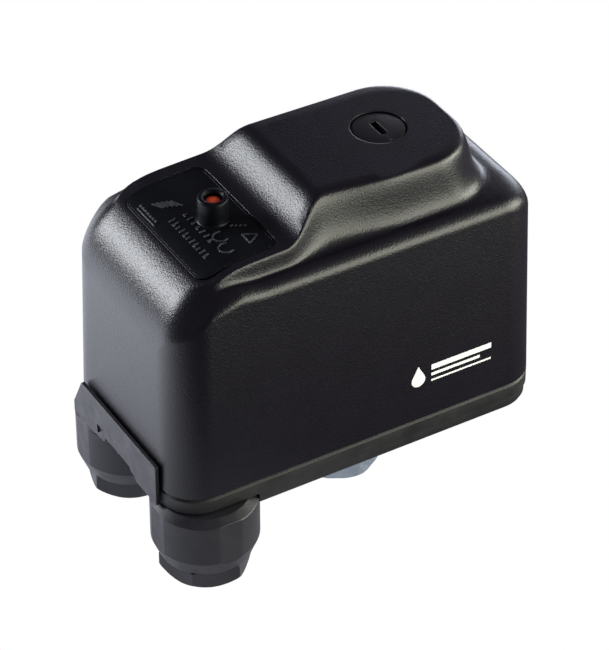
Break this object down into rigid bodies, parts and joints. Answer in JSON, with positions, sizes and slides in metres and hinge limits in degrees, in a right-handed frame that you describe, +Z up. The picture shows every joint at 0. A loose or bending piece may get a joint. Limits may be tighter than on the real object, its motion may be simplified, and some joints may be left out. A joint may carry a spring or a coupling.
{
  "type": "pressure switch",
  "caption": "Dry-run pressure switch: black moulded cover with a reset button in a collar and a slotted cap screw, on a grey tray with hanging cable glands and a pressure port.",
  "frame": {"origin": "Middle of the footprint, on the plane of the gland nuts' and the pressure port's end faces.", "axes": "+X runs along the case, away from the cable glands. +Y points to the back of the case. +Z is up, out of the cover screw."},
  "size_m": [0.1014, 0.0626, 0.0935],
  "materials": {
    "case_black": "near-black moulded plastic with a fine spark-eroded grain and a satin sheen",
    "plate_black": "smooth blue-black plastic with raised marks",
    "grey_polyamide": "dark grey glass-filled polyamide, satin",
    "red_plastic": "orange-red plastic, slightly glossy",
    "ivory_plastic": "ivory thermoset plastic",
    "rubber": "black nitrile rubber, matte",
    "zinc": "blue-white zinc-plated steel",
    "steel": "zinc-plated sheet and turned steel",
    "spring_steel": "drawn spring wire",
    "brass": "plain brass"
  },
  "bodies": {
    "base": {"base_tray": "grey_polyamide", "gland_retainer": "grey_polyamide", "gland_body_front": "grey_polyamide", "gland_body_rear": "grey_polyamide", "gland_seal_front": "rubber", "gland_seal_rear": "rubber", "pressure_port": "zinc", "port_flange": "zinc", "diaphragm": "rubber", "flange_screw_1": "steel", "flange_screw_2": "steel", "flange_screw_3": "steel", "flange_screw_4": "steel", "chassis": "steel", "lever_pin": "steel", "lever_pin_clip": "steel", "main_stud": "steel", "main_spring": "spring_steel", "diff_stud": "steel", "diff_spring": "spring_steel", "contact_block": "ivory_plastic", "block_screw_1": "steel", "block_screw_2": "steel", "fixed_contact_1": "brass", "fixed_contact_2": "brass", "fixed_contact_3": "brass", "fixed_contact_4": "brass", "terminal_screw_1": "steel", "terminal_screw_2": "steel", "terminal_screw_3": "steel", "terminal_screw_4": "steel", "rocker_spring": "spring_steel", "rocker_pin": "steel", "reset_lever_pin": "steel", "earth_plate": "brass", "earth_screw_1": "steel", "earth_screw_2": "steel"},
    "cover": {"cover": "case_black", "rating_plate": "plate_black", "reset_button_spring": "spring_steel"},
    "reset_button": {"reset_button": "red_plastic", "reset_button_clip": "steel"},
    "cover_screw_ring": {"cover_screw_ring": "rubber"},
    "cover_screw": {"cover_screw": "case_black"},
    "reset_lever": {"reset_lever": "ivory_plastic"},
    "main_lever": {"main_lever": "steel"},
    "plunger": {"plunger": "ivory_plastic"},
    "rocker": {"contact_rocker": "red_plastic", "contact_bridge_1": "brass", "contact_bridge_2": "brass"},
    "main_spring_plate": {"main_spring_plate": "steel"},
    "main_spring_nut": {"main_spring_nut": "brass"},
    "diff_spring_plate": {"diff_spring_plate": "steel"},
    "diff_spring_nut": {"diff_spring_nut": "brass"},
    "gland_ring_front": {"gland_ring_front": "ivory_plastic"},
    "gland_nut_front": {"gland_nut_front": "grey_polyamide"},
    "gland_ring_rear": {"gland_ring_rear": "ivory_plastic"},
    "gland_nut_rear": {"gland_nut_rear": "grey_polyamide"}
  },
  "joints": [
    {"name": "cover_lift", "type": "slide", "parent": "base", "child": "cover", "axis": [0, 0, 1], "range_m": [0, 0.12]},
    {"name": "reset_press", "type": "slide", "parent": "cover", "child": "reset_button", "axis": [0, 0, -1], "range_m": [0, 0.0015], "stiffness_N_per_m": 400, "springref_m": -0.001, "deforming": ["reset_button_spring"]},
    {"name": "cover_screw_travel", "type": "slide", "parent": "cover", "child": "cover_screw_ring", "axis": [0, 0, 1], "range_m": [0, 0.0032]},
    {"name": "cover_screw_turn", "type": "hinge", "parent": "cover_screw_ring", "child": "cover_screw", "pos_m": [0.0201, 0, 0.09], "axis": [0, 0, 1], "range_deg": [0, 1440]},
    {"name": "reset_lever_tilt", "type": "hinge", "parent": "base", "child": "reset_lever", "pos_m": [-0.0163, 0, 0.058], "axis": [0, -1, 0], "range_deg": [0, 9.9]},
    {"name": "main_lever_tilt", "type": "hinge", "parent": "base", "child": "main_lever", "pos_m": [0.0417, 0, 0.035], "axis": [0, 1, 0], "range_deg": [0, 2.5], "stiffness_Nm_per_rad": 1, "springref_deg": -2.86},
    {"name": "plunger_lift", "type": "slide", "parent": "base", "child": "plunger", "axis": [0, 0, 1], "range_m": [0, 0.0015]},
    {"name": "rocker_tilt", "type": "hinge", "parent": "base", "child": "rocker", "pos_m": [-0.0163, 0, 0.046], "axis": [0, -1, 0], "range_deg": [0, 15.2], "deforming": ["rocker_spring"]},
    {"name": "main_spring_travel", "type": "slide", "parent": "base", "child": "main_spring_plate", "axis": [0, 0, -1], "range_m": [0, 0.002], "deforming": ["main_spring"]},
    {"name": "main_nut_turn", "type": "hinge", "parent": "main_spring_plate", "child": "main_spring_nut", "pos_m": [0.0201, 0, 0.07], "axis": [0, 0, -1], "range_deg": [0, 900]},
    {"name": "diff_spring_travel", "type": "slide", "parent": "base", "child": "diff_spring_plate", "axis": [0, 0, -1], "range_m": [0, 0.0014], "deforming": ["diff_spring"]},
    {"name": "diff_nut_turn", "type": "hinge", "parent": "diff_spring_plate", "child": "diff_spring_nut", "pos_m": [-0.0008, 0, 0.064], "axis": [0, 0, -1], "range_deg": [0, 720]},
    {"name": "front_gland_travel", "type": "slide", "parent": "base", "child": "gland_ring_front", "axis": [0, 0, -1], "range_m": [0, 0.003]},
    {"name": "front_gland_turn", "type": "hinge", "parent": "gland_ring_front", "child": "gland_nut_front", "pos_m": [-0.0381, -0.0187, 0.003], "axis": [0, 0, -1], "range_deg": [0, 720]},
    {"name": "rear_gland_travel", "type": "slide", "parent": "base", "child": "gland_ring_rear", "axis": [0, 0, -1], "range_m": [0, 0.003]},
    {"name": "rear_gland_turn", "type": "hinge", "parent": "gland_ring_rear", "child": "gland_nut_rear", "pos_m": [-0.0381, 0.0187, 0.003], "axis": [0, 0, -1], "range_deg": [0, 720]}
  ],
  "couplings": [
    {"joint": "cover_screw_turn", "follows": "cover_screw_travel", "rad_per_m": 7853},
    {"joint": "reset_lever_tilt", "follows": "reset_press", "rad_per_m": 114.9},
    {"joint": "plunger_lift", "follows": "main_lever_tilt", "m_per_rad": 0.0325},
    {"joint": "rocker_tilt", "follows": "main_lever_tilt", "ratio": 6},
    {"joint": "main_nut_turn", "follows": "main_spring_travel", "rad_per_m": 7853},
    {"joint": "diff_nut_turn", "follows": "diff_spring_travel", "rad_per_m": 8975},
    {"joint": "front_gland_turn", "follows": "front_gland_travel", "rad_per_m": 4188},
    {"joint": "rear_gland_turn", "follows": "rear_gland_travel", "rad_per_m": 4188}
  ]
}
